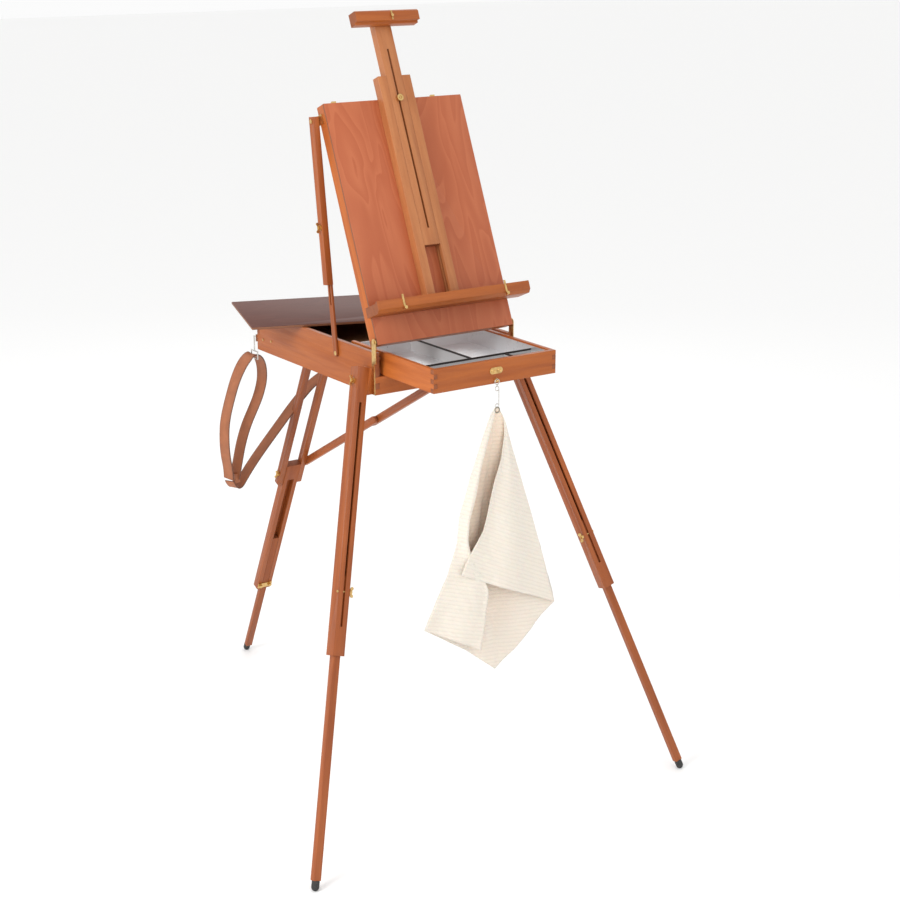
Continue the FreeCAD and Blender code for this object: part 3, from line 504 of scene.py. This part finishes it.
MAT = {
    "frame": solid_wood("frame_wood", (0.50, 0.140, 0.026), (0.33, 0.074, 0.012)),
    "rail": solid_wood("rail_wood", (0.54, 0.215, 0.080), (0.40, 0.135, 0.045), 0.8),
    "leg": solid_wood("leg_wood", (0.42, 0.114, 0.026), (0.25, 0.056, 0.012)),
    "panel": panel_wood("panel_plywood", (0.51, 0.150, 0.062), (0.38, 0.084, 0.030)),
    "deck": panel_wood("deck_plywood", (0.36, 0.19, 0.09), (0.26, 0.12, 0.052), 0.6),
    "palette": panel_wood("palette_plywood", (0.150, 0.056, 0.040), (0.085, 0.028, 0.021),
                          0.6, 0.62),
    "ply_edge": ply_edge("plywood_edge", (0.36, 0.15, 0.062), (0.11, 0.034, 0.019)),
    "end": end_grain("end_grain", (0.38, 0.112, 0.030), (0.27, 0.070, 0.018)),
    "brass": metal("brass", (0.70, 0.47, 0.19), 0.28, tarnish=(0.36, 0.20, 0.075)),
    "nickel": metal("nickel_wire", (0.62, 0.60, 0.56), 0.25),
    "zinc": metal("zinc_sheet", (0.76, 0.76, 0.77), 0.34, scratch=(3, 30, 3),
                  tarnish=(0.74, 0.74, 0.75), metallic=0.75),
    "steel": metal("dark_steel", (0.30, 0.27, 0.22), 0.35),
    # the dividers' second colour is painted shade along their top edges
    "divider": edged_sheet("divider_sheet", (0.50, 0.50, 0.50), (0.030, 0.024, 0.022)),
    "leather": leather("strap_leather", (0.30, 0.098, 0.036), (0.085, 0.028, 0.012)),
    "cotton": cotton("towel_cotton", (0.80, 0.735, 0.645), (0.74, 0.655, 0.55),
                     (0.90, 0.64, 0.44)),
    "rubber": rubber("tip_rubber"),
}

# ---------------------------------------------------------------- wooden boards

MERGE = 1e-5
FLAT_ANGLE = math.radians(1.5)
CORNER_ANGLE = math.radians(32)


def new_piece(name, shape, *materials):
    """A smooth-shaded object made from a bmesh, which is freed."""
    mesh = bpy.data.meshes.new(name)
    shape.to_mesh(mesh)
    shape.free()
    for face in mesh.polygons:
        face.use_smooth = True
    for material in materials:
        mesh.materials.append(MAT[material])
    piece = bpy.data.objects.new(name, mesh)
    bpy.context.collection.objects.link(piece)
    return piece


def islands(mesh):
    """The separate shells of a mesh, in the order of their first vertices.

    Each board takes its random grain in turn, so this order is fixed by index.
    """
    left = set(mesh.verts)
    for first in mesh.verts:
        if first not in left:
            continue
        left.remove(first)
        todo = [first]
        shell = []
        while todo:
            vert = todo.pop()
            shell.append(vert)
            for edge in vert.link_edges:
                other = edge.other_vert(vert)
                if other in left:
                    left.remove(other)
                    todo.append(other)
        yield sorted(shell, key=lambda v: v.index)


def board_axes(shell):
    """Length, width and thickness directions of a board, from its longest straight edges."""
    edges = sorted({e for v in shell for e in v.link_edges}, key=lambda e: e.index)
    ways = sorted((e.verts[1].co - e.verts[0].co for e in edges), key=lambda d: -d.length)
    along = ways[0].normalized()
    if along[max(range(3), key=lambda i: abs(along[i]))] < 0:
        along = -along
    across = None
    for way in ways:
        flat = way - along * way.dot(along)
        if flat.length > 0.9 * way.length:
            across = flat.normalized()
            break
    across = across or along.orthogonal().normalized()
    thin = along.cross(across)
    spans = {}
    for name, axis in (("across", across), ("thin", thin)):
        dots = [v.co.dot(axis) for v in shell]
        spans[name] = max(dots) - min(dots)
    if spans["across"] < spans["thin"]:
        across, thin = thin, -across
    return along, across, thin


def eased(node, material, bevel=0.0007, edge=None):
    """A node's boards with softened edges, grain along each board and cut ends of their own."""
    shape = bmesh.new()
    shape.from_mesh(NODES[node].data)
    bmesh.ops.remove_doubles(shape, verts=shape.verts[:], dist=MERGE)
    bmesh.ops.dissolve_limit(shape, angle_limit=FLAT_ANGLE, verts=shape.verts[:],
                             edges=shape.edges[:])
    shape.verts.index_update()
    shape.edges.index_update()
    grain = shape.verts.layers.float_vector.new("grain")
    board = shape.verts.layers.float.new("board")
    for shell in islands(shape):
        along, across, thin = board_axes(shell)
        middle = sum((v.co for v in shell), Vector()) / len(shell)
        start = Vector((rng.uniform(0, 9), rng.uniform(0, 9), rng.uniform(0, 9)))
        tone = rng.random()
        low = min(v.co.dot(thin) for v in shell)
        for vert in shell:
            off = vert.co - middle
            flat = vert.co.dot(thin) - low if edge else off.dot(thin) + start.z
            vert[grain] = Vector((off.dot(along) + start.x, off.dot(across) + start.y, flat))
            vert[board] = tone
        for face in {f for v in shell for f in v.link_faces}:
            if edge and abs(face.normal.dot(thin)) < 0.7:
                face.material_index = 1
            elif not edge and abs(face.normal.dot(along)) > 0.9:
                face.material_index = 1
    piece = new_piece(node + "_board", shape, material, edge or "end")
    rounding = piece.modifiers.new("rounding", "BEVEL")
    rounding.width = bevel
    rounding.segments = 2
    rounding.limit_method = "ANGLE"
    rounding.angle_limit = CORNER_ANGLE
    rounding.harden_normals = True
    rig.ride(piece, BODY[node])
    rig.replaces(piece, node)
    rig.slot(piece, SLOT[node])


BOARDS = {
    "frame": ["box_sides", "box_front_rail", "box_back", "drawer_front", "drawer_sides",
              "canvas_tray", "head_bar", "lid_sides", "lid_rails", "leg_wedges"],
    "rail": ["mast_rails", "mast"],
    "deck": ["drawer_runners", "drawer_back"],
    "leg": ["rear_fork", "rear_channel", "rear_inner", "brace_front", "brace_rear",
            "leg_outer_left", "leg_outer_right", "leg_inner_left", "leg_inner_right",
            "strut_slat_left", "strut_slat_right", "strut_bar_left", "strut_bar_right"],
}
for material, nodes in BOARDS.items():
    for node in nodes:
        eased(node, material)
eased("lid_panel", "panel", 0.0005, edge="ply_edge")
eased("box_bottom", "deck", 0.0003, edge="ply_edge")
eased("drawer_bottom", "deck", 0.0003, edge="ply_edge")
eased("palette", "palette", 0.0012, edge="ply_edge")

# ---------------------------------------------------------------- metal and rubber from the CAD


def paint(node, material):
    mesh = NODES[node].data
    mesh.materials.clear()
    mesh.materials.append(MAT[material])


PAINTED = {
    "brass": ["hinge_straps", "under_lugs", "box_fasteners", "drawer_fittings", "lid_fittings",
              "tray_clips", "head_clip", "mast_knob", "rear_joint_bolt", "rear_fittings",
              "brace_nut", "brace_bolt", "strut_bolt_left", "strut_bolt_right",
              "strut_nut_left", "strut_nut_right", "leg_clamp_left", "leg_clamp_right"],
    "nickel": ["towel_ring", "strap_anchors"],
    "zinc": ["drawer_liner"],
    "divider": ["drawer_dividers"],
    "rubber": ["rear_tip", "leg_tip_left", "leg_tip_right"],
}
for material, nodes in PAINTED.items():
    for node in nodes:
        paint(node, material)

# ---------------------------------------------------------------- leather strap

FRONT_Y = -0.3775       # the box's front, where the routes' y starts
STRAP_WIDE = 0.030
STRAP_THICK = 0.0034
STRAP_BEAD = 0.0010     # rounded lip along each edge
STRAP_CREASE = 0.0032   # how far in from the edge the crease line lies
# a strap bends about its own width, so one direction serves every strand
STRAP_ACROSS = Vector((0.431, -0.902, 0))
# control points in millimetres, y from the box's front; the loop runs on into the keeper
STRAP_LONG = [(192, 568, 1003), (150, 588, 962), (100, 618, 925), (34, 648, 890), (-20, 662, 832),
              (-76, 667, 768), (-115, 667, 727), (-153, 666, 686), (-179, 665, 654),
              (-198, 664, 628), (-216, 661, 630), (-226, 657, 650)]
STRAP_LOOP = [(-208, 660, 656), (-207, 655, 676), (-205, 647, 706), (-199, 638, 754),
              (-187, 630, 801), (-170, 625, 839), (-153, 621, 877), (-145, 611, 925),
              (-160, 590, 976), (-188, 574, 1003), (-208, 587, 986), (-221, 612, 936),
              (-239, 616, 879), (-255, 614, 829), (-259, 614, 785), (-250, 629, 732),
              (-234, 645, 684), (-230, 653, 658)]


def smooth_route(points, name):
    """Points read along a NURBS spline whose control points are the route, in metres."""
    curve = bpy.data.curves.new(name + "_route", "CURVE")
    curve.dimensions = "3D"
    spline = curve.splines.new("NURBS")
    spline.points.add(len(points) - 1)
    for target, (x, y, z) in zip(spline.points, points):
        target.co = (x / 1000, y / 1000 + FRONT_Y, z / 1000, 1)
    spline.order_u = 3
    spline.use_endpoint_u = True
    spline.resolution_u = 14
    holder = bpy.data.objects.new(name + "_route", curve)
    bpy.context.collection.objects.link(holder)
    line = bpy.data.meshes.new_from_object(
        holder.evaluated_get(bpy.context.evaluated_depsgraph_get()))
    path = [v.co.copy() for v in line.vertices]
    bpy.data.objects.remove(holder)
    bpy.data.meshes.remove(line)
    return path


def path_length(path):
    return sum((b - a).length for a, b in zip(path, path[1:]))


def strap(name, route, nodes):
    """Flat strap along a route, its width always as near as can be to one direction."""
    path = smooth_route(route, name)
    shape = bmesh.new()
    rim = shape.verts.layers.float.new("rim")
    half, thin, bead = STRAP_WIDE / 2, STRAP_THICK / 2, STRAP_BEAD
    # across, up and rim colour, for one half of the upper side, then mirrored and turned under
    left = [(-half, 0, 1), (-half + bead * 0.3, thin * 0.75, 1), (-half + bead, thin, 0.55),
            (-half + STRAP_CREASE, thin * 0.86, 0.15)]
    section = left + [(0, thin, 0)] + [(-x, y, r) for x, y, r in reversed(left)]
    section += [(x, -y, r) for x, y, r in reversed(section[1:-1])]
    rings = []
    for i, point in enumerate(path):
        ahead = (path[min(i + 1, len(path) - 1)] - path[max(i - 1, 0)]).normalized()
        side = (STRAP_ACROSS - ahead * STRAP_ACROSS.dot(ahead)).normalized()
        normal = side.cross(ahead)
        ring = []
        for x, y, edge in section:
            vert = shape.verts.new(point + side * x + normal * y)
            vert[rim] = edge
            ring.append(vert)
        rings.append(ring)
    count = len(section)
    for a, b in zip(rings, rings[1:]):
        for j in range(count):
            shape.faces.new((a[j], a[(j + 1) % count], b[(j + 1) % count], b[j]))
    shape.faces.new(list(reversed(rings[0])))
    shape.faces.new(rings[-1])
    bmesh.ops.recalc_face_normals(shape, faces=shape.faces[:])
    piece = new_piece(name, shape, "leather")
    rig.ride(piece, "box")
    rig.replaces(piece, *nodes)
    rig.slot(piece, "leather")
    return piece, path


long_strap, long_path = strap("shoulder_strap_long", STRAP_LONG, ["strap_long"])
loop_strap, loop_path = strap("shoulder_strap_loop", STRAP_LOOP, ["strap_loop"])
paint("strap_buckle", "leather")
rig.cord(long_strap, exit=long_path[0], length=path_length(long_path), diameter=STRAP_WIDE,
        far_end="object", stiffness="medium", lay="hanging", path=long_path,
        with_pieces=[NODES["strap_buckle"]])
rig.cord(loop_strap, exit=loop_path[0], length=path_length(loop_path), diameter=STRAP_WIDE,
        far_end="object", stiffness="medium", lay="hanging", path=loop_path)

# ---------------------------------------------------------------- towel

DRAWER_OUT = 0.202
HOOK_OUT = 0.0045
TOWEL_Y = FRONT_Y - DRAWER_OUT - HOOK_OUT
EYE_Z = 1.001
TOWEL_THICK = 0.0014
# Guide lines fanning out from the eyelet, as (x, z) in millimetres seen from the front, with the
# depth of each line's lower end behind the eyelet's plane: the free edge of the front flap, the
# right-hand fold, the lowest corner, the back layer's other corner, the left-hand fold and the
# free edge of the left-hand panel.
GUIDES = [
    ([(2, 1008), (17, 981), (17, 946), (3, 890), (-23, 835), (-31, 801), (-38, 767), (-48, 730),
      (-72, 696), (-97, 659), (-107, 634)], -0.018),
    ([(3, 1008), (20, 978), (43, 900), (90, 761), (133, 630), (170, 508)], -0.006),
    ([(1, 1008), (5, 789), (11, 368)], 0.012),
    ([(-2, 1008), (-31, 795), (-71, 434)], 0.014),
    ([(-4, 1008), (-16, 996), (-39, 943), (-76, 845), (-103, 762), (-107, 709), (-134, 637),
      (-168, 572), (-198, 517)], 0.0),
    ([(-2, 1008), (-9, 985), (-30, 925), (-50, 870), (-64, 814), (-84, 759), (-88, 713),
      (-76, 662), (-45, 616), (-30, 579), (-41, 507), (-54, 442)], -0.014),
]
STEPS = [46, 26, 12, 22, 34]    # mesh columns between one guide and the next
DOWN = 120                      # mesh rows
FLAP, PANEL = 0, 4              # the parts with a free edge
RIB_TILT = (0.45, 0.1, 0.1, 0.1, 0.28)
GUIDE_SMOOTHINGS = 7


def read_guide(points, share):
    """The point a share of the way along a guide line, by length."""
    lengths = [math.dist(a, b) for a, b in zip(points, points[1:])]
    left = share * sum(lengths)
    for (a, b), length in zip(zip(points, points[1:]), lengths):
        if left <= length:
            k = left / length
            return Vector((a[0] + (b[0] - a[0]) * k, a[1] + (b[1] - a[1]) * k))
        left -= length
    return Vector(points[-1])


def guide_line(points):
    """A guide read at even steps and smoothed, its two ends kept."""
    line = [read_guide(points, j / DOWN) for j in range(DOWN + 1)]
    for _ in range(GUIDE_SMOOTHINGS):
        line = ([line[0]] + [(a + 2 * b + c) / 4 for a, b, c in zip(line, line[1:], line[2:])]
                + [line[-1]])
    return line


def bulge(part, s):
    """How far a layer swells towards the viewer between its two guides: (front, wave)."""
    if part == FLAP:
        return -0.007 * math.sin(math.pi * s), 0.0035 * math.sin(2 * math.pi * s * 1.5 + 0.6)
    if part == PANEL:
        return -0.005 * math.sin(math.pi * s), 0.003 * math.sin(2 * math.pi * s)
    return 0.006 * math.sin(math.pi * s), 0.005 * math.sin(math.pi * s * 2 + part)


def towel_depth(part, s, k, flat):
    """Depth of the cloth behind the eyelet's plane, s across a part and k of the way down."""
    depth = GUIDES[part][1] + (GUIDES[part + 1][1] - GUIDES[part][1]) * s
    swell, wave = bulge(part, s)
    depth = (depth + swell) * min(1, k * 2.2) + wave * k
    ripple = noise.noise(Vector((flat.x / 60, part * 5.0 + s, flat.y / 75)))
    depth += 0.004 * k * ripple
    depth += 0.0016 * k * noise.noise(Vector((flat.x / 18, part * 3.0, flat.y / 24)))
    # the free edges curl a little
    if part == FLAP:
        depth -= 0.004 * max(0, 1 - s * 9) ** 2 * math.sin(math.pi * k) ** 2
    if part == PANEL:
        depth -= 0.004 * max(0, 1 - (1 - s) * 7) ** 2 * k
    return depth


def make_towel():
    """One sheet hung by its eyelet: a front flap, the back layer and a left-hand panel."""
    shape = bmesh.new()
    cloth = shape.verts.layers.float_vector.new("cloth")
    inner = shape.verts.layers.float.new("inner")
    lines = [guide_line(points) for points, _ in GUIDES]
    rows = []
    for part, steps in enumerate(STEPS):
        for i in range(steps + (part == len(STEPS) - 1)):
            s = i / steps
            row = []
            for j in range(DOWN + 1):
                k = j / DOWN
                flat = lines[part][j].lerp(lines[part + 1][j], s)
                y = TOWEL_Y + towel_depth(part, s, k, flat)
                vert = shape.verts.new((flat.x / 1000, y, flat.y / 1000))
                # ribs lie along each layer's lower hem
                across = flat.x * math.cos(RIB_TILT[part])
                down = flat.y + flat.x * math.tan(RIB_TILT[part])
                vert[cloth] = Vector((across / 1000, down / 1000, 0))
                between = part not in (FLAP, PANEL)
                vert[inner] = 0.4 * between * min(1, max(0.12, (0.92 - k) * 3))
                row.append(vert)
            rows.append(row)
    for a, b in zip(rows, rows[1:]):
        for j in range(DOWN):
            shape.faces.new((a[j], a[j + 1], b[j + 1], b[j]))
    area = sum(face.calc_area() for face in shape.faces)
    piece = new_piece("hanging_towel", shape, "cotton")
    thick = piece.modifiers.new("thickness", "SOLIDIFY")
    thick.thickness = TOWEL_THICK
    thick.offset = 0
    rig.ride(piece, "towel")
    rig.replaces(piece, "towel")
    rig.slot(piece, "cotton")
    return piece, area


def make_eyelet():
    """A rolled steel eyelet round the link's lower end."""
    bpy.ops.mesh.primitive_torus_add(major_radius=0.0062, minor_radius=0.0016,
                                     major_segments=40, minor_segments=14,
                                     location=(0, TOWEL_Y - 0.0002, EYE_Z),
                                     rotation=(math.radians(90), 0, 0))
    eyelet = bpy.context.object
    eyelet.name = "towel_eyelet"
    for face in eyelet.data.polygons:
        face.use_smooth = True
    eyelet.data.materials.append(MAT["steel"])
    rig.ride(eyelet, "towel")
    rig.slot(eyelet, "brass")


towel, towel_area = make_towel()
make_eyelet()

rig.sheet(towel, flat=(0.45, 0.50), held="hung", rests_on=["towel_ring"], area=towel_area)

json.dump({"towel_area": towel_area, "cad": [list(map(float, p)) for p in cad_box],
           "visual": [list(map(float, p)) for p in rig.bounds()]}, open("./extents.json", "w"))
